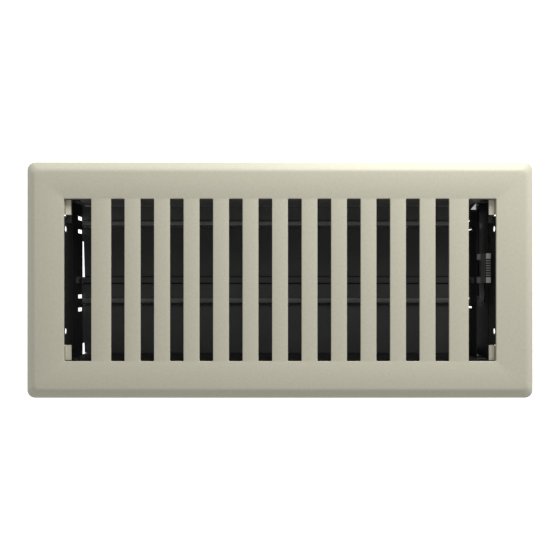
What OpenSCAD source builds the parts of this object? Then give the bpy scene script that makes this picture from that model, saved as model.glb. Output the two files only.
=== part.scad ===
// Floor register: a formed, slotted faceplate over a sheet-metal duct box
// with two linked damper blades and a thumb lever at one end.
// Millimetres. z = 0 is the underside of the faceplate rim (the floor surface),
// +Z up out of the floor, +X along the length towards the thumb lever.

/* [Faceplate] */
// Faceplate length along X
face_l = 285.75; // [200:0.25:400]
// Faceplate width along Y
face_w = 133.35; // [90:0.25:250]
// Height of the face above the floor
face_h = 4.5; // [2.5:0.1:8]
// Sheet thickness of the faceplate
face_t = 1.2; // [0.8:0.1:2]
// Width of the pressed bevel round the edge
bevel_w = 6; // [3:0.5:12]
// Outline corner radius
corner_r = 4.5; // [2:0.5:12]

/* [Slots] */
// Half length of every slot along Y
slot_y = 45.45; // [20:0.05:90]
// Width of a narrow slot
slot_w = 7.65; // [4:0.05:14]
// Slot spacing along X
slot_pitch = 16.5; // [9:0.1:24]
// Number of narrow slots
slot_n = 12; // [4:1:20]
// Inner edge of the two wide end openings
end_x0 = 105.5; // [80:0.1:150]
// Outer edge of the two wide end openings
end_x1 = 120.9; // [90:0.1:160]

/* [Duct box] */
// Sheet thickness of the box
box_t = 0.6; // [0.5:0.1:1.5]
// Inner half length of the box
box_x = 121; // [90:0.1:160]
// Inner half width of the box
box_y = 45.5; // [25:0.1:90]
// Depth of the long side panels below the floor
side_z = 36; // [20:0.5:60]
// Depth of the end panels below the floor
end_z = 25.3; // [15:0.1:50]
// Radius of the screw holes in the end panels
screw_r = 1.75; // [1:0.05:3]
// Half spacing of the screw holes
screw_y = 28.9; // [10:0.1:40]
// Height of the screw holes above the floor
screw_z = 0.5; // [-10:0.1:1.3]

/* [Damper] */
// Pivot line of the rear blade
rear_y = 33.3; // [20:0.1:60]
// Pivot line of the front blade
front_y = -13.9; // [-40:0.1:0]
// Height of both pivot lines
pivot_z = -25.4; // [-35:0.1:-18]
// Blade reach on the short side of its pivot
blade_s = 11.7; // [6:0.1:20]
// Blade reach on the long side of its pivot
blade_l = 31.1; // [20:0.1:50]
// Blade sheet thickness
blade_t = 0.6; // [0.4:0.1:1]
// Tilt of the blades in the stored, nearly shut pose
tilt = 4.5; // [0.5:0.5:30]
// Pivot rod radius
rod_r = 1.25; // [0.8:0.05:2]
// Radial running clearance in the bearing holes
run_c = 0.05; // [0.02:0.01:0.1]

/* [Linkage] */
// Length of each crank arm
crank_l = 10; // [7:0.5:14]
// Crank arm angle above +Y in the stored pose
crank_a = 48; // [44:1:60]
// Height of the link bar section
link_h = 5; // [4:0.5:7]
// Number of ribs on the thumb pad
rib_n = 7; // [4:1:10]

/* [Hidden] */
$fn = 48;
e = 0.05;
under = face_h - face_t;
hx = face_l / 2;
hy = face_w / 2;
tab_y0 = 36.9;
tab_y1 = 45.3;
br_x0 = 115.0;
br_x1 = br_x0 + box_t;
cr_x0 = 116.1;
cr_x1 = 117.3;
lk_x0 = 117.5;
lk_x1 = 118.7;
lev_x0 = 116.8;
lev_x1 = 119.5;
pin_dy = crank_l * cos(crank_a);
pin_z = pivot_z + crank_l * sin(crank_a);
pin_f = front_y + pin_dy;
pin_r = rear_y + pin_dy;
riv_r = 1.2;
hole_r = 1.25;
press_r = rod_r - 0.03;

beige = [0.78, 0.76, 0.68];
black = [0.11, 0.11, 0.11];
plastic = [0.08, 0.08, 0.08];
steel = [0.66, 0.66, 0.68];

// box between two corners
module bx(x0, x1, y0, y1, z0, z1) {
    translate([x0, y0, z0]) cube([x1 - x0, y1 - y0, z1 - z0]);
}

// cylinder along X between two X positions
module cx(r, x0, x1, y, z) {
    translate([x0, y, z]) rotate([0, 90, 0]) cylinder(r = r, h = x1 - x0);
}

// cylinder along Y between two Y positions
module cy(r, x, y0, y1, z) {
    translate([x, y0, z]) rotate([-90, 0, 0]) cylinder(r = r, h = y1 - y0);
}

// four thin corner discs that set one level of the pressed pan
module pan_layer(inset, z) {
    r = max(1.2, corner_r - inset * 0.25);
    for (sx = [-1, 1]) for (sy = [-1, 1])
        translate([sx * (hx - inset - r), sy * (hy - inset - r), z])
            cylinder(r = r, h = 0.02, $fn = 32);
}

module faceplate() {
    color(beige) {
        difference() {
            hull() {
                pan_layer(0, 0);
                pan_layer(0.15, 0.9);
                pan_layer(0.9, 2.2);
                pan_layer(2.4, 3.4);
                pan_layer(4.2, 4.15);
                pan_layer(bevel_w, face_h - 0.02);
            }
            hull() {
                pan_layer(1.2, -1);
                pan_layer(1.35, 0.6);
                pan_layer(2.0, 1.5);
                pan_layer(3.2, 2.4);
                pan_layer(bevel_w, under - 0.02);
            }
            for (i = [0 : slot_n - 1])
                translate([(i - (slot_n - 1) / 2) * slot_pitch - slot_w / 2, -slot_y, under - 1])
                    cube([slot_w, 2 * slot_y, face_t + 2]);
            for (s = [-1, 1])
                translate([s * (end_x0 + end_x1) / 2 - (end_x1 - end_x0) / 2, -slot_y, under - 1])
                    cube([end_x1 - end_x0, 2 * slot_y, face_t + 2]);
        }
        // hook tabs turned down at the ends of the wide openings, feet folded in
        for (sx = [-1, 1]) for (sy = [-1, 1]) {
            translate([sx > 0 ? end_x1 : -end_x1 - face_t, sy > 0 ? tab_y0 : -tab_y1, -0.3])
                cube([face_t, tab_y1 - tab_y0, under + 0.3 + e]);
            translate([sx > 0 ? 118.2 : -end_x1 - face_t, sy > 0 ? tab_y0 : -tab_y1, -0.3])
                cube([end_x1 + face_t - 118.2, tab_y1 - tab_y0, 1.2]);
        }
    }
}

module box_side(s) {
    y0 = s > 0 ? box_y : -box_y - box_t;
    color(black) difference() {
        bx(-box_x, box_x, y0, y0 + box_t, -side_z, under);
        for (sx = [-1, 1]) cy(hole_r, sx * 116.5, y0 - 1, y0 + box_t + 1, -3);
        cy(hole_r, 117.6, y0 - 1, y0 + box_t + 1, -22);
    }
}

module box_side_rear() { box_side(1); }
module box_side_front() { box_side(-1); }

// end panel; s is the side, zb how far down it goes, bearing = it carries the rods
module box_end(s, zb, bearing) {
    xi = s * box_x;
    x0 = s > 0 ? box_x : -box_x - box_t;
    color(black) difference() {
        union() {
            bx(x0, x0 + box_t, -box_y, box_y, -zb, under);
            // corner flanges that lap the side panels
            for (sy = [-1, 1]) {
                ya = sy > 0 ? box_y : -box_y - 2 * box_t;
                bx(x0, x0 + box_t, ya - (sy > 0 ? e : 0), ya + 2 * box_t + (sy > 0 ? 0 : e), -12.5, 2.5);
                yf = sy > 0 ? box_y + box_t : -box_y - 2 * box_t;
                bx(s > 0 ? 112 : -box_x - box_t, s > 0 ? box_x + box_t : -112, yf, yf + box_t, -12.5, 2.5);
            }
            // pressed stiffening rib, standing in from the inner face
            bx(s > 0 ? xi - 0.25 : xi - e, s > 0 ? xi + e : xi + 0.25, -41, 41, -13.5, -8);
            // lugs folded in under the faceplate's feet
            bx(s > 0 ? 118.3 : -box_x - box_t, s > 0 ? box_x + box_t : -118.3, 32.4, 45, -0.3 - box_t, -0.3);
            bx(s > 0 ? 118.3 : -box_x - box_t, s > 0 ? box_x + box_t : -118.3, -45, -tab_y0, -0.3 - box_t, -0.3);
            // deeper flaps that carry the bearings
            if (bearing) {
                bx(x0, x0 + box_t, 23.7, box_y, -30, -zb + e);
                bx(x0, x0 + box_t, -38.8, -0.4, -30, -zb + e);
                bx(x0, x0 + box_t, -5, 1.5, -34, -zb + e);
                bx(x0, x0 + box_t, 1.4, 3.2, -34, -30.4);
            }
        }
        // recess behind the stiffening rib
        bx(s > 0 ? box_x + box_t - 0.25 : -box_x - box_t - 1, s > 0 ? box_x + box_t + 1 : -box_x - box_t + 0.25,
           -40.5, 40.5, -13, -8.5);
        // notches the faceplate's tabs pass through
        for (sy = [-1, 1])
            bx(x0 - 1, x0 + box_t + 1, sy > 0 ? 36 : -box_y, sy > 0 ? box_y : -36.5, -0.3, under + 1);
        // screw holes
        for (sy = [-1, 1]) cx(screw_r, x0 - 1, x0 + box_t + 1, sy * screw_y, screw_z);
        // corner rivet holes
        for (sy = [-1, 1])
            cy(hole_r, s * 116.5, sy > 0 ? box_y + 0.4 : -box_y - 3, sy > 0 ? box_y + 3 : -box_y - 0.4, -3);
        if (bearing) {
            for (y = [front_y, rear_y]) {
                cx(rod_r + run_c, x0 - 1, x0 + box_t + 1, y, pivot_z);
                for (sy = [-1, 1])
                    bx(x0 - 1, x0 + box_t + 1, sy > 0 ? y + 2.8 : y - 5.1, sy > 0 ? y + 5.1 : y - 2.8, -zb, -18);
            }
            cx(hole_r, x0 - 1, x0 + box_t + 1, 0, -19.5);
        }
    }
}

module box_end_left() { box_end(-1, end_z, true); }
module box_end_right() { box_end(1, end_z + 0.8, false); }

// inner partition that carries the rods next to the cranks
module pivot_bracket() {
    color(black) difference() {
        union() {
            bx(br_x0, br_x1, -box_y, box_y, -29.5, -10.8);
            for (sy = [-1, 1])
                bx(br_x0, 120, sy > 0 ? box_y - box_t : -box_y, sy > 0 ? box_y : -box_y + box_t, -27, -14);
            // small mitred ear at the rear top corner
            translate([0, 0, -11.6]) linear_extrude(height = 0.8)
                polygon([[br_x0 + 0.4, box_y], [br_x0 + 0.4, box_y - 4.2], [br_x0 - 3.2, box_y - 4.2]]);
        }
        for (y = [front_y, rear_y]) {
            cx(rod_r + run_c, br_x0 - 1, br_x1 + 1, y, pivot_z);
            for (d = [-2.5, 2.5])
                bx(br_x0 - 1, br_x1 + 1, y + d - 0.6, y + d + 0.6, -31, -18.2);
        }
        cx(hole_r, br_x0 - 1, br_x1 + 1, 0, -19.5);
        for (sy = [-1, 1])
            cy(hole_r, 117.6, sy > 0 ? box_y - 2 : -box_y - 1, sy > 0 ? box_y + 1 : -box_y + 2, -22);
    }
}

// hat-section bar under the joint of the two blades, its ends turned up and riveted
module centre_bar() {
    color(black) difference() {
        union() {
            bx(-box_x, br_x0, -1.75, 1.75, -26.6, -26);
            for (sy = [-1, 1]) {
                bx(-box_x, br_x0, sy > 0 ? 1.15 : -1.75, sy > 0 ? 1.75 : -1.15, -33.4, -26.2);
                bx(-box_x, br_x0, sy > 0 ? 1.15 : -2.9, sy > 0 ? 2.9 : -1.15, -34, -33.4);
            }
            bx(-box_x, -box_x + box_t, -1.85, 1.85, -28, -14.3);
            bx(br_x0 - box_t, br_x0, -1.85, 1.85, -28, -14.3);
        }
        cx(hole_r, -box_x - 1, -box_x + 2, 0, -19.5);
        cx(hole_r, br_x0 - 2, br_x0 + 1, 0, -19.5);
    }
}

module blade(y) {
    color(black) translate([0, y, pivot_z]) rotate([tilt, 0, 0]) difference() {
        union() {
            bx(-120.6, 114.1, -blade_l, blade_s, -blade_t / 2, blade_t / 2);
            cx(2.1, -120.6, 114.1, 0, 0);
        }
        cx(press_r, -123, 116, 0, 0);
    }
}

module louver_rear() { blade(rear_y); }
module louver_front() { blade(front_y); }

module rod(y) {
    color(steel) {
        cx(rod_r, -122.2, 117.9, y, pivot_z);
        cx(2.0, -122.4, -121.8, y, pivot_z);
        cx(1.8, cr_x1, 118.2, y, pivot_z);
    }
}

module pivot_rod_rear() { rod(rear_y); }
module pivot_rod_front() { rod(front_y); }

module crank(y) {
    color(black) translate([cr_x0, y, pivot_z]) rotate([crank_a, 0, 0]) difference() {
        union() {
            cx(2.3, 0, cr_x1 - cr_x0, 0, 0);
            cx(2.4, 0, cr_x1 - cr_x0, crank_l, 0);
            bx(0, cr_x1 - cr_x0, 0, crank_l, -2.1, 2.1);
        }
        cx(press_r, -1, 3, 0, 0);
        cx(press_r, -1, 3, crank_l, 0);
    }
}

module crank_rear() { crank(rear_y); }
module crank_front() { crank(front_y); }

module link_pin(y) {
    color(steel) {
        cx(rod_r, cr_x0, lk_x1 + 0.3, y, pin_z);
        cx(1.9, lk_x1 + 0.1, lk_x1 + 0.45, y, pin_z);
    }
}

module link_pin_rear() { link_pin(pin_r); }
module link_pin_front() { link_pin(pin_f); }

module link_bar() {
    color(black) difference() {
        union() {
            bx(lk_x0, lk_x1, pin_f, pin_r, pin_z - link_h / 2, pin_z + link_h / 2);
            for (y = [pin_f, pin_r]) cx(link_h / 2, lk_x0, lk_x1, y, pin_z);
        }
        cx(rod_r + run_c, lk_x0 - 1, lk_x1 + 1, pin_f, pin_z);
        cx(rod_r + 0.25, lk_x0 - 1, lk_x1 + 1, pin_r, pin_z);
        for (y = [0, 13.4]) cx(hole_r - 0.3, lk_x0 - 1, lk_x1 + 1, y, pin_z);
    }
}

// thumb pad with two legs that straddle the link bar
module thumb_lever() {
    color(plastic) difference() {
        union() {
            bx(lev_x0, lev_x1, -1.6, 15.1, -7.8, 0);
            bx(lev_x0, lev_x1, 11.7, 15.1, -20.2, -7.7);
            bx(lev_x0, lev_x1, -1.8, 1.75, -20.2, -7.7);
            // ledges that reach over the top edge of the inner bracket
            bx(114.8, lev_x0 + 0.1, 11.7, 15.1, -10, -8.2);
            bx(114.8, lev_x0 + 0.1, -1.8, 1.75, -10, -8.2);
        }
        // grooves between the ribs
        for (i = [0 : rib_n])
            bx(lev_x0 - 1, lev_x1 + 1, 1.6 + i * 1.38, 2.4 + i * 1.38, -1.5, 1);
        // slots the link bar lies in
        bx(lk_x0 - 0.02, lk_x1 + 0.02, -3, 17, pin_z - link_h / 2 - 1, pin_z + link_h / 2);
        for (y = [0, 13.4]) cx(hole_r - 0.3, lev_x0 - 1, lev_x1 + 1, y, pin_z);
    }
}

module lever_rivets() {
    color(steel) for (y = [0, 13.4]) {
        cx(0.92, lev_x0 - 0.2, lev_x1 + 0.3, y, pin_z);
        cx(1.5, lev_x0 - 0.25, lev_x0, y, pin_z);
        cx(1.5, y == 0 ? lev_x1 + 0.3 : lev_x1, lev_x1 + 0.6, y, pin_z);
    }
}

// bowed leaf that drags on the end panel and keeps the damper where it is set
module friction_spring() {
    n = 14;
    y0 = -1.8;
    y1 = -14.1;
    color(steel) translate([0, 0, pin_z - 1.4]) difference() {
        linear_extrude(height = 6.8)
            polygon(concat(
                [[lev_x1, 1.6]],
                [for (i = [0 : n]) [lev_x1 + 0.7 * sin(180 * i / n), y0 + (y1 - y0) * i / n]],
                [for (i = [n : -1 : 0]) [lev_x1 + 0.3 + 0.7 * sin(180 * i / n), y0 + (y1 - y0) * i / n]],
                [[lev_x1 + 0.3, 1.6]]));
        translate([lev_x1 - 1, 0, 1.4]) rotate([0, 90, 0]) cylinder(r = 0.95, h = 3);
    }
}

// four rivets through the box corners
module corner_rivets() {
    color(black) for (sx = [-1, 1]) for (sy = [-1, 1]) {
        ya = sy > 0 ? box_y : -box_y - 2 * box_t;
        cy(riv_r, sx * 116.5, ya - 0.3, ya + 2 * box_t + 0.3, -3);
        cy(2.2, sx * 116.5, sy > 0 ? ya - 0.5 : ya - 0.7, sy > 0 ? ya : ya, -3);
        cy(2.2, sx * 116.5, ya + 2 * box_t, sy > 0 ? ya + 2 * box_t + 0.7 : ya + 2 * box_t + 0.5, -3);
    }
}

// two rivets that hold the centre bar's ends
module bar_rivets() {
    color(black) {
        cx(riv_r, -box_x - box_t - 0.3, -box_x + box_t + 0.3, 0, -19.5);
        cx(2.0, -box_x - box_t - 0.6, -box_x - box_t, 0, -19.5);
        cx(1.7, -box_x + box_t, -box_x + box_t + 0.5, 0, -19.5);
        cx(riv_r, br_x0 - box_t - 0.3, br_x1 + 0.3, 0, -19.5);
        cx(1.7, br_x0 - box_t - 0.5, br_x0 - box_t, 0, -19.5);
        cx(1.7, br_x1, br_x1 + 0.45, 0, -19.5);
    }
}

// two rivets that hold the inner bracket's flanges to the side panels
module bracket_rivets() {
    color(black) for (sy = [-1, 1]) {
        yi = sy > 0 ? box_y - box_t : -box_y - box_t;
        cy(riv_r, 117.6, yi - 0.3, yi + 2 * box_t + 0.3, -22);
        cy(1.8, 117.6, yi - 0.5, yi, -22);
        cy(1.8, 117.6, yi + 2 * box_t, yi + 2 * box_t + 0.5, -22);
    }
}

faceplate();
box_side_rear();
box_side_front();
box_end_left();
box_end_right();
pivot_bracket();
centre_bar();
louver_rear();
louver_front();
pivot_rod_rear();
pivot_rod_front();
crank_rear();
crank_front();
link_pin_rear();
link_pin_front();
link_bar();
thumb_lever();
lever_rivets();
friction_spring();
corner_rivets();
bar_rivets();
bracket_rivets();
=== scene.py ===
import math
import bpy
import bmesh
from mathutils import Vector, Matrix


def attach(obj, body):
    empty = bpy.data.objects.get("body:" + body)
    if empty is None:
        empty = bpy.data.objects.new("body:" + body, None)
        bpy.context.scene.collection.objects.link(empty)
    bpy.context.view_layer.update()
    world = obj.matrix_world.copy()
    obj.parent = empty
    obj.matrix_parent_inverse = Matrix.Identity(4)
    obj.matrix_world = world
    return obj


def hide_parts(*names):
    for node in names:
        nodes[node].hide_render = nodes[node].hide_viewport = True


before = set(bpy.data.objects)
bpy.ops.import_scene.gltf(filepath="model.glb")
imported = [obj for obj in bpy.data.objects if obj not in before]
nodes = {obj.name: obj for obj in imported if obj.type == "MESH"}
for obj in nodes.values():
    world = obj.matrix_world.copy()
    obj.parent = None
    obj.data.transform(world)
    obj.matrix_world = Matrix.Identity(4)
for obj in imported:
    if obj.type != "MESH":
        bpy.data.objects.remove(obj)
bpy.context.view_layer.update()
MM = 0.001


# ---------------------------------------------------------------- materials

def new_mat(name):
    m = bpy.data.materials.new(name)
    m.use_nodes = True
    nt = m.node_tree
    return m, nt, nt.nodes["Principled BSDF"]


def grain(nt, bsdf, scale, strength, distance, detail=3.0):
    """Fine bump from a noise in object space."""
    tc = nt.nodes.new("ShaderNodeTexCoord")
    nz = nt.nodes.new("ShaderNodeTexNoise")
    nz.inputs["Scale"].default_value = scale
    nz.inputs["Detail"].default_value = detail
    nz.inputs["Roughness"].default_value = 0.55
    bp = nt.nodes.new("ShaderNodeBump")
    bp.inputs["Strength"].default_value = strength
    bp.inputs["Distance"].default_value = distance
    nt.links.new(tc.outputs["Object"], nz.inputs["Vector"])
    nt.links.new(nz.outputs["Fac"], bp.inputs["Height"])
    nt.links.new(bp.outputs["Normal"], bsdf.inputs["Normal"])
    return tc, nz, bp


def tint(nt, bsdf, tc, scale, low, high, detail=4.0):
    """Slow colour drift between two near tones."""
    nz = nt.nodes.new("ShaderNodeTexNoise")
    nz.inputs["Scale"].default_value = scale
    nz.inputs["Detail"].default_value = detail
    cr = nt.nodes.new("ShaderNodeValToRGB")
    cr.color_ramp.elements[0].position = 0.3
    cr.color_ramp.elements[0].color = (*low, 1)
    cr.color_ramp.elements[1].position = 0.7
    cr.color_ramp.elements[1].color = (*high, 1)
    nt.links.new(tc.outputs["Object"], nz.inputs["Vector"])
    nt.links.new(nz.outputs["Fac"], cr.inputs["Fac"])
    nt.links.new(cr.outputs["Color"], bsdf.inputs["Base Color"])
    return cr


def roughness_drift(nt, bsdf, tc, scale, low, high):
    nz = nt.nodes.new("ShaderNodeTexNoise")
    nz.inputs["Scale"].default_value = scale
    nz.inputs["Detail"].default_value = 3.0
    mr = nt.nodes.new("ShaderNodeMapRange")
    mr.inputs["To Min"].default_value = low
    mr.inputs["To Max"].default_value = high
    nt.links.new(tc.outputs["Object"], nz.inputs["Vector"])
    nt.links.new(nz.outputs["Fac"], mr.inputs["Value"])
    nt.links.new(mr.outputs["Result"], bsdf.inputs["Roughness"])


# beige baked enamel, slightly orange-peeled
beige, nt, b = new_mat("beige_enamel")
b.inputs["Specular IOR Level"].default_value = 0.42
tc, nz, bp = grain(nt, b, 1500.0, 0.10, 0.00012)
tint(nt, b, tc, 700.0, (0.585, 0.562, 0.447), (0.625, 0.602, 0.483))
roughness_drift(nt, b, tc, 160.0, 0.42, 0.50)

# the same enamel, lighter on the rear tabs' feet as painted light, and darker and duller on the tabs' upright legs
# as painted shade
beige_foot_painted_light, nt, b = new_mat("beige_enamel_foot_painted_light")
b.inputs["Specular IOR Level"].default_value = 0.42
tc, nz, bp = grain(nt, b, 1500.0, 0.10, 0.00012)
tint(nt, b, tc, 700.0, (0.76, 0.735, 0.60), (0.80, 0.775, 0.635))
roughness_drift(nt, b, tc, 160.0, 0.42, 0.50)

# darker copy of the enamel for the tabs' upright legs: painted shade
beige_leg_painted_shade, nt, b = new_mat("beige_enamel_leg_painted_shade")
b.inputs["Specular IOR Level"].default_value = 0.30
tc, nz, bp = grain(nt, b, 1500.0, 0.10, 0.00012)
tint(nt, b, tc, 700.0, (0.40, 0.385, 0.295), (0.44, 0.425, 0.325))
roughness_drift(nt, b, tc, 160.0, 0.48, 0.56)

# black satin paint on thin sheet
black, nt, b = new_mat("black_satin_paint")
b.inputs["Specular IOR Level"].default_value = 0.45
tc, nz, bp = grain(nt, b, 1100.0, 0.12, 0.00012)
tint(nt, b, tc, 90.0, (0.013, 0.013, 0.013), (0.018, 0.018, 0.018))
roughness_drift(nt, b, tc, 70.0, 0.38, 0.52)

# the same paint on the flat blades and bar, lighter: painted light on the up-facing sheets
blade_black_painted_light, nt, b = new_mat("black_satin_paint_painted_light")
b.inputs["Specular IOR Level"].default_value = 0.45
tc, nz, bp = grain(nt, b, 1100.0, 0.12, 0.00012)
tint(nt, b, tc, 60.0, (0.056, 0.056, 0.056), (0.068, 0.068, 0.067))
roughness_drift(nt, b, tc, 70.0, 0.40, 0.55)

# the same paint lighter along the crown of the rolled tube as a painted highlight, on the rear blade's wing as
# painted light, and rubbed thin on the riveted tabs
rubbed_and_highlight, nt, b = new_mat("black_paint_rubbed_and_highlight")
b.inputs["Specular IOR Level"].default_value = 0.5
tc, nz, bp = grain(nt, b, 1100.0, 0.12, 0.00012)
tint(nt, b, tc, 120.0, (0.105, 0.105, 0.103), (0.135, 0.135, 0.132))
roughness_drift(nt, b, tc, 70.0, 0.36, 0.48)

# the rear tube's crown, lighter still: a painted highlight
rear_crown_highlight, nt, b = new_mat("black_paint_rear_crown_highlight")
b.inputs["Specular IOR Level"].default_value = 0.5
tc, nz, bp = grain(nt, b, 1100.0, 0.12, 0.00012)
tint(nt, b, tc, 120.0, (0.25, 0.25, 0.245), (0.31, 0.31, 0.305))
roughness_drift(nt, b, tc, 70.0, 0.36, 0.48)

# darker, matt black on the cut top edge of the bracket and the sheltered inner face of the front panel: painted
# shade
black_painted_shade, nt, b = new_mat("black_matt_paint_painted_shade")
b.inputs["Specular IOR Level"].default_value = 0.22
tc, nz, bp = grain(nt, b, 1100.0, 0.12, 0.00012)
tint(nt, b, tc, 90.0, (0.008, 0.008, 0.008), (0.012, 0.012, 0.012))
roughness_drift(nt, b, tc, 70.0, 0.62, 0.74)

# inner face of the rear side panel, much lighter: a painted sheen for light glancing up from below
side_painted_sheen, nt, b = new_mat("black_paint_side_painted_sheen")
b.inputs["Specular IOR Level"].default_value = 0.45
tc, nz, bp = grain(nt, b, 1100.0, 0.12, 0.00012)
tint(nt, b, tc, 60.0, (0.20, 0.20, 0.197), (0.24, 0.24, 0.236))
roughness_drift(nt, b, tc, 70.0, 0.40, 0.55)

# paler plastic on the tops of the lever's end blocks: painted light
lever_top_painted_light, nt, b = new_mat("black_plastic_painted_light")
b.inputs["Specular IOR Level"].default_value = 0.5
tc, nz, bp = grain(nt, b, 2600.0, 0.10, 0.00008)
tint(nt, b, tc, 400.0, (0.19, 0.19, 0.186), (0.23, 0.23, 0.226))
roughness_drift(nt, b, tc, 300.0, 0.46, 0.56)

# moulded black plastic
plastic, nt, b = new_mat("black_moulded_plastic")
b.inputs["Specular IOR Level"].default_value = 0.5
tc, nz, bp = grain(nt, b, 2600.0, 0.10, 0.00008)
tint(nt, b, tc, 400.0, (0.130, 0.130, 0.126), (0.150, 0.150, 0.146))
roughness_drift(nt, b, tc, 300.0, 0.46, 0.56)

# bare steel, drawn
steel, nt, b = new_mat("bare_steel")
b.inputs["Metallic"].default_value = 1.0
tc, nz, bp = grain(nt, b, 1800.0, 0.08, 0.00005)
tint(nt, b, tc, 240.0, (0.50, 0.50, 0.51), (0.60, 0.60, 0.60))
roughness_drift(nt, b, tc, 500.0, 0.30, 0.42)

# dull spring steel of the friction leaf
dull_steel, nt, b = new_mat("dull_spring_steel")
b.inputs["Metallic"].default_value = 1.0
tc, nz, bp = grain(nt, b, 1800.0, 0.08, 0.00005)
tint(nt, b, tc, 240.0, (0.30, 0.30, 0.30), (0.38, 0.38, 0.375))
roughness_drift(nt, b, tc, 500.0, 0.34, 0.46)

# galvanised edge of the inner bracket's ear
galv, nt, b = new_mat("pale_bare_sheet")
b.inputs["Metallic"].default_value = 0.35
tc, nz, bp = grain(nt, b, 900.0, 0.08, 0.00008)
tint(nt, b, tc, 300.0, (0.60, 0.60, 0.60), (0.72, 0.72, 0.72))
roughness_drift(nt, b, tc, 300.0, 0.45, 0.6)


# ---------------------------------------------------------------- mesh helpers

def link(bm, name, mat, body, smooth=30.0, replaces=()):
    bmesh.ops.recalc_face_normals(bm, faces=bm.faces)
    me = bpy.data.meshes.new(name)
    bm.to_mesh(me)
    bm.free()
    me.materials.append(mat)
    for p in me.polygons:
        p.use_smooth = True
    me.set_sharp_from_angle(angle=math.radians(smooth))
    ob = bpy.data.objects.new(name, me)
    bpy.context.scene.collection.objects.link(ob)
    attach(ob, body)
    if replaces:
        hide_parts(*replaces)
    return ob


def soften(ob, width_mm, seg=2, angle=35.0):
    md = ob.modifiers.new("edge", "BEVEL")
    md.width = width_mm * MM
    md.segments = seg
    md.limit_method = "ANGLE"
    md.angle_limit = math.radians(angle)
    md.harden_normals = False
    md.use_clamp_overlap = True
    return ob


def rounded_loop(hx, hy, r, z, seg=8):
    """Rounded rectangle as a list of points in metres, counter-clockwise."""
    pts = []
    for qx, qy, a0 in ((1, 1, 0), (-1, 1, 90), (-1, -1, 180), (1, -1, 270)):
        for k in range(seg + 1):
            a = math.radians(a0 + 90.0 * k / seg)
            pts.append(Vector(((qx * (hx - r) + r * math.cos(a)) * MM,
                               (qy * (hy - r) + r * math.sin(a)) * MM, z * MM)))
    return pts


def loft(bm, rings):
    """Joins closed rings of equal length with quads; returns the rings' vertices."""
    vs = [[bm.verts.new(p) for p in ring] for ring in rings]
    n = len(vs[0])
    for a, b_ in zip(vs, vs[1:]):
        for i in range(n):
            bm.faces.new((a[i], a[(i + 1) % n], b_[(i + 1) % n], b_[i]))
    return vs


def ring_edges(ring):
    return [ring[i].link_edges for i in range(len(ring))]


def edges_of(bm, ring):
    out = []
    n = len(ring)
    for i in range(n):
        e = bm.edges.get((ring[i], ring[(i + 1) % n]))
        if e is None:
            e = bm.edges.new((ring[i], ring[(i + 1) % n]))
        out.append(e)
    return out


def prism_x(bm, prof, x0, x1):
    """Extrudes a closed (y, z) profile in mm along X."""
    a = [bm.verts.new((x0 * MM, y * MM, z * MM)) for y, z in prof]
    c = [bm.verts.new((x1 * MM, y * MM, z * MM)) for y, z in prof]
    n = len(prof)
    for i in range(n):
        bm.faces.new((a[i], a[(i + 1) % n], c[(i + 1) % n], c[i]))
    bm.faces.new(a[::-1])
    bm.faces.new(c)


def prism_y(bm, prof, y0, y1):
    """Extrudes a closed (x, z) profile in mm along Y."""
    a = [bm.verts.new((x * MM, y0 * MM, z * MM)) for x, z in prof]
    c = [bm.verts.new((x * MM, y1 * MM, z * MM)) for x, z in prof]
    n = len(prof)
    for i in range(n):
        bm.faces.new((a[i], a[(i + 1) % n], c[(i + 1) % n], c[i]))
    bm.faces.new(a[::-1])
    bm.faces.new(c)


def arc(cx, cy, r, a0, a1, n):
    return [(cx + r * math.cos(math.radians(a0 + (a1 - a0) * k / n)),
             cy + r * math.sin(math.radians(a0 + (a1 - a0) * k / n))) for k in range(n + 1)]


# ---------------------------------------------------------------- faceplate

HX, HY, H, T = 142.875, 66.675, 4.5, 1.2
OUT = [(0.05, 0.0), (0.0, 0.12), (0.0, 0.72), (0.10, 1.02), (0.34, 1.34), (0.82, 1.72), (1.6, 2.24),
       (2.45, 2.80), (3.25, 3.32), (3.95, 3.76), (4.6, 4.10), (5.2, 4.33), (5.8, 4.46), (6.4, 4.50)]
INN = [(1.15, 0.0), (1.2, 0.12), (1.2, 0.35), (1.3, 0.6), (1.7, 0.95), (2.5, 1.5), (3.4, 2.1), (4.2, 2.65),
       (4.9, 3.0), (5.6, 3.22), (6.4, 3.30)]


def corner(inset):
    return max(1.6, 4.5 - 0.25 * inset)


bm = bmesh.new()
outer = loft(bm, [rounded_loop(HX - i, HY - i, corner(i), z) for i, z in OUT])
inner = loft(bm, [rounded_loop(HX - i, HY - i, corner(i), z) for i, z in INN])
n = len(outer[0])
for i in range(n):
    bm.faces.new((outer[0][i], outer[0][(i + 1) % n], inner[0][(i + 1) % n], inner[0][i]))

holes = []
for k in range(12):
    holes.append(((k - 5.5) * 16.5, 3.825))
for s in (-1, 1):
    holes.append((s * (105.5 + 120.9) / 2, (120.9 - 105.5) / 2))
top_edges = edges_of(bm, outer[-1])
bot_edges = edges_of(bm, inner[-1])
for cxm, hw in holes:
    rings = []
    for off, z in ((0.30, 4.5), (0.14, 4.455), (0.04, 4.35), (0.0, 4.2), (0.0, 3.42), (0.05, 3.3)):
        ring = rounded_loop(hw + off, 45.45 + off, 0.55 + off, z, 4)
        rings.append([p + Vector((cxm * MM, 0, 0)) for p in ring])
    vs = loft(bm, rings)
    top_edges += edges_of(bm, vs[0])
    bot_edges += edges_of(bm, vs[-1])
bmesh.ops.triangle_fill(bm, use_beauty=True, use_dissolve=False, edges=top_edges, normal=(0, 0, 1))
bmesh.ops.triangle_fill(bm, use_beauty=True, use_dissolve=False, edges=bot_edges, normal=(0, 0, -1))

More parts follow.
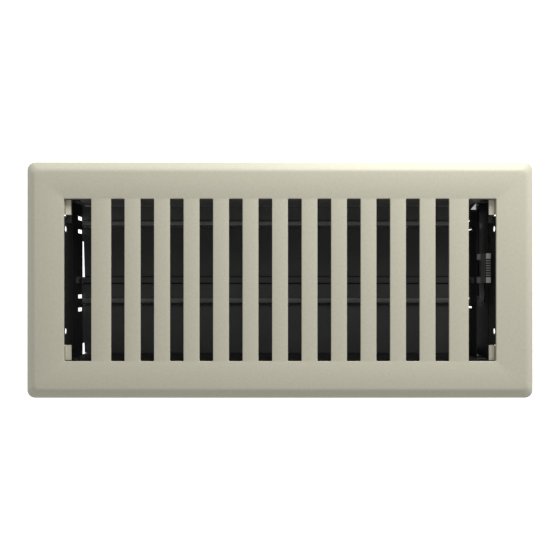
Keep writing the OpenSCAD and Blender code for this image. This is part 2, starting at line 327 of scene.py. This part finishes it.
# hook tabs, bent in at the foot
for sx in (-1, 1):
    for y0, y1 in ((36.9, 45.3), (-45.3, -36.9)):
        prof = [(122.1, 3.32)] + arc(121.1, 0.7, 1.0, 0, -90, 6) + [(118.25, -0.3), (118.2, -0.25), (118.2, 0.85), (118.25, 0.9)]
        prof += arc(120.6, 1.2, 0.3, -90, 0, 4) + [(120.9, 3.32)]
        prof = [(sx * x, z) for x, z in prof]
        prism_y(bm, prof, y0, y1)
plate = link(bm, "faceplate_pressed", beige, "register", 32.0, ("faceplate",))
plate.data.materials.append(beige_foot_painted_light)
plate.data.materials.append(beige_leg_painted_shade)
# rear tabs' upward feet take the lighter enamel, painted light; the tabs' inner upright legs take the darker
# enamel, painted shade
for p in plate.data.polygons:
    c = p.center
    if 0.1181 < abs(c.x) < 0.1222 and 0.0368 < abs(c.y) < 0.0454 and c.z < 0.0034:
        if abs(p.normal.x) > 0.8 and abs(c.x) < 0.1212 and c.z > 0.0012:
            p.material_index = 2
        elif p.normal.z > 0.7 and c.y > 0 and c.z < 0.0012:
            p.material_index = 1

# ---------------------------------------------------------------- damper blades

TILT = math.radians(4.5)


def blade_piece(name, body, y, node, crown, edge, wing):
    """Sheet with a rolled tube on its pivot line; both long edges end square with small chamfers."""
    t = 0.3
    bead = [(3.12, t), (2.98, 0.75), (2.86, 1.35), (2.7, 1.72), (2.45, 1.93), (2.1, 2.02), (1.4, 2.07), (0.7, 2.05),
            (0.2, 1.93), (-0.25, 1.66), (-0.6, 1.25), (-0.82, 0.75), (-0.92, 0.35), (-1.05, 0.05), (-1.45, 0.05), (-1.62, t)]
    prof = [(edge, -t + 0.05), (edge, t - 0.05), (edge - 0.05, t), (3.3, t)]
    prof += bead
    prof += [(-2.3, t), (-31.05, t), (-31.1, t - 0.05), (-31.1, -t + 0.05), (-31.05, -t)]
    prof += [(-2.3, -t), (-2.14, -t - 0.02), (-2.06, -t - 0.12)]
    prof += [(2.08 * math.cos(math.radians(a)), 2.08 * math.sin(math.radians(a))) for a in range(-168, -30, 10)]
    prof += [(2.2, -t - 0.55), (2.42, -t - 0.28), (2.75, -t - 0.06), (3.2, -t), (edge - 0.05, -t)]
    # faces along the tube's crown, which take the crown material: a painted highlight
    crown_highlight_faces = [k for k in range(len(prof)) if 0.3 < prof[k][0] < 2.8 and prof[k][1] > 1.6]
    c, s = math.cos(TILT), math.sin(TILT)
    prof = [(y + p * c - q * s, -25.4 + p * s + q * c) for p, q in prof]
    m = bmesh.new()
    prism_x(m, prof, -120.6, 114.1)
    m.faces.ensure_lookup_table()
    for k in crown_highlight_faces:
        m.faces[k].material_index = 1
    # the top of the wing takes the wing material: painted light on the rear blade
    for k in (2, 3):
        m.faces[k].material_index = 2
    ob = link(m, name, blade_black_painted_light, body, 25.0, (node,))
    ob.data.materials.append(crown)
    ob.data.materials.append(wing)
    return ob


blade_piece("damper_blade_rear", "rear_blade", 33.3, "louver_rear", rear_crown_highlight, 11.7, rubbed_and_highlight)
blade_piece("damper_blade_front", "front_blade", -13.9, "louver_front", rubbed_and_highlight, 11.4, blade_black_painted_light)

# ---------------------------------------------------------------- carried-over CAD nodes

finish = {
    "box_side_rear": (black, 0.12), "box_side_front": (black, 0.12),
    "box_end_left": (black, 0.12), "box_end_right": (black, 0.12),
    "pivot_bracket": (black, 0.05), "centre_bar": (blade_black_painted_light, 0.12),
    "crank_rear": (black, 0.15), "crank_front": (black, 0.15), "link_bar": (black, 0.15),
    "thumb_lever": (plastic, 0.16),
    "pivot_rod_rear": (steel, 0.15), "pivot_rod_front": (steel, 0.15),
    "link_pin_rear": (steel, 0.12), "link_pin_front": (steel, 0.12),
    "lever_rivets": (steel, 0.12), "friction_spring": (dull_steel, 0.05),
    "corner_rivets": (black, 0.25), "bar_rivets": (black, 0.2), "bracket_rivets": (black, 0.2),
}
for name, (mat, w) in finish.items():
    o = nodes[name]
    o.data.materials.clear()
    o.data.materials.append(mat)
    if name == "pivot_bracket":
        o.data.materials.append(galv)
        o.data.materials.append(black_painted_shade)
        # the bracket's cut top edge takes the darker matt black: painted shade
        for p in o.data.polygons:
            cs = [o.data.vertices[i].co for i in p.vertices]
            if p.normal.z > 0.9 and all(c.z > -0.0112 and c.x < 0.1158 for c in cs):
                p.material_index = 2
            if all(c.z > -0.0117 and c.y > 0.041 and c.x < 0.11545 for c in cs) and p.normal.z > 0.9:
                p.material_index = 1
    if name == "box_side_rear":
        o.data.materials.append(side_painted_sheen)
        # the rear panel's inner face takes the much lighter paint: a painted sheen
        for p in o.data.polygons:
            if p.normal.y < -0.9:
                p.material_index = 1
    if name == "box_side_front":
        o.data.materials.append(black_painted_shade)
        # the front panel's inner face takes the darker matt black: painted shade
        for p in o.data.polygons:
            if p.normal.y > 0.9:
                p.material_index = 1
    if name == "thumb_lever":
        o.data.materials.append(black)
        o.data.materials.append(lever_top_painted_light)
        # the end blocks' tops take the paler plastic, painted light
        for p in o.data.polygons:
            cs = [o.data.vertices[i].co for i in p.vertices]
            cy = sum(c.y for c in cs) / len(cs)
            cz = sum(c.z for c in cs) / len(cs)
            # the grooves between the ribs take black paint, darker than the plastic: painted shade
            if p.normal.z > 0.9 and cz > -0.0002:
                if cy < 0.0016 or cy > 0.0120:
                    p.material_index = 2
            elif cz > -0.0016 and 0.00155 < cy < 0.0125 and abs(p.normal.x) < 0.5:
                p.material_index = 1
    if name == "centre_bar":
        o.data.materials.append(rubbed_and_highlight)
        o.data.materials.append(black)
        # the bar's top keeps the lighter blade paint, painted light; its upright tab faces take the lighter rubbed
        # paint; all other faces the plain black paint
        for p in o.data.polygons:
            cs = [o.data.vertices[i].co for i in p.vertices]
            if abs(p.normal.x) > 0.9 and all(c.z > -0.0282 for c in cs):
                p.material_index = 1
            elif not (p.normal.z > 0.9 and all(c.z > -0.0261 for c in cs)):
                p.material_index = 2
    soften(o, w, 2)

# ---------------------------------------------------------------- stage, light, camera

bm = bmesh.new()
bmesh.ops.create_grid(bm, x_segments=1, y_segments=1, size=4.0)
me = bpy.data.meshes.new("floor")
bm.to_mesh(me)
bm.free()
floor = bpy.data.objects.new("floor", me)
floor.location = (0, 0, -0.062)
bpy.context.scene.collection.objects.link(floor)
fm, nt, b = new_mat("pale_floor")
b.inputs["Base Color"].default_value = (0.9, 0.9, 0.9, 1)
b.inputs["Roughness"].default_value = 0.9
b.inputs["Specular IOR Level"].default_value = 0.1
b.inputs["Emission Color"].default_value = (1, 1, 1, 1)
b.inputs["Emission Strength"].default_value = 0.95
me.materials.append(fm)

# dim card just under the duct box: the shaded patch of table the box stands over
bm = bmesh.new()
bmesh.ops.create_grid(bm, x_segments=1, y_segments=1, size=1.0)
bmesh.ops.scale(bm, vec=(0.1216, 0.0461, 1.0), verts=bm.verts)
me = bpy.data.meshes.new("shade_card")
bm.to_mesh(me)
bm.free()
card = bpy.data.objects.new("shade_card", me)
card.location = (0, 0, -0.0364)
bpy.context.scene.collection.objects.link(card)
cm, nt, b = new_mat("shade_card")
b.inputs["Base Color"].default_value = (0.02, 0.02, 0.02, 1)
b.inputs["Roughness"].default_value = 1.0
b.inputs["Emission Color"].default_value = (1, 1, 1, 1)
b.inputs["Emission Strength"].default_value = 0.14
me.materials.append(cm)
card.visible_camera = False

# dark strips under the box's two long walls, where the shade is deepest
dm, nt, b = new_mat("shade_strip")
b.inputs["Base Color"].default_value = (0.006, 0.006, 0.006, 1)
b.inputs["Roughness"].default_value = 1.0
for side in (-1, 1):
    bm = bmesh.new()
    bmesh.ops.create_grid(bm, x_segments=1, y_segments=1, size=1.0)
    bmesh.ops.scale(bm, vec=(0.134, 0.0019, 1.0), verts=bm.verts)
    me = bpy.data.meshes.new("shade_strip")
    bm.to_mesh(me)
    bm.free()
    me.materials.append(dm)
    strip = bpy.data.objects.new("shade_strip_rear" if side > 0 else "shade_strip_front", me)
    strip.location = (0, side * 0.0442, -0.0362)
    bpy.context.scene.collection.objects.link(strip)
    strip.visible_camera = False

world = bpy.data.worlds.new("studio")
bpy.context.scene.world = world
world.use_nodes = True
wt = world.node_tree
bg = wt.nodes["Background"]
bg.inputs["Strength"].default_value = 0.47
wc = wt.nodes.new("ShaderNodeTexCoord")
ws = wt.nodes.new("ShaderNodeSeparateXYZ")
wr = wt.nodes.new("ShaderNodeValToRGB")
wr.color_ramp.elements[0].position = 0.0
wr.color_ramp.elements[0].color = (1.0, 1.0, 1.0, 1)
wr.color_ramp.elements[1].position = 1.0
wr.color_ramp.elements[1].color = (0.70, 0.70, 0.70, 1)
wt.links.new(wc.outputs["Generated"], ws.inputs["Vector"])
wt.links.new(ws.outputs["Z"], wr.inputs["Fac"])
wt.links.new(wr.outputs["Color"], bg.inputs["Color"])


def area(name, loc, target, size, power, colour=(1, 1, 1), size_y=None):
    d = bpy.data.lights.new(name, "AREA")
    d.energy = power
    d.color = colour
    d.shape = "RECTANGLE"
    d.size = size
    d.size_y = size_y or size
    o = bpy.data.objects.new(name, d)
    o.location = loc
    o.rotation_mode = "QUATERNION"
    o.rotation_quaternion = (Vector(target) - Vector(loc)).to_track_quat("-Z", "Y")
    bpy.context.scene.collection.objects.link(o)
    return o


area("key", (0.19, 0.44, 0.235), (0, 0, 0), 0.40, 3.05, (1.0, 1.0, 0.99), 0.28)

# narrow snoot on the pale ear in the box's rear right corner
sd = bpy.data.lights.new("ear_snoot", "SPOT")
sd.energy = 2.9
sd.spot_size = math.radians(0.95)
sd.spot_blend = 0.4
sd.shadow_soft_size = 0.0
so = bpy.data.objects.new("ear_snoot", sd)
so.location = (0.03, 0.0, 0.34)
so.rotation_mode = "QUATERNION"
so.rotation_quaternion = (Vector((0.1141, 0.0427, -0.0108)) - so.location).to_track_quat("-Z", "Y")
bpy.context.scene.collection.objects.link(so)

cam = bpy.data.objects.new("camera", bpy.data.cameras.new("camera"))
cam.data.lens = 35.0
cam.data.sensor_width = 36.0
cam.data.clip_start = 0.01
cam.data.clip_end = 20.0
cam.location = (0, 0, 0.3086)
cam.rotation_euler = (0, 0, 0)
bpy.context.scene.collection.objects.link(cam)
bpy.context.scene.camera = cam

sc = bpy.context.scene
sc.view_settings.view_transform = "Standard"
sc.view_settings.look = "None"
sc.view_settings.exposure = 0.0
sc.view_settings.gamma = 1.0
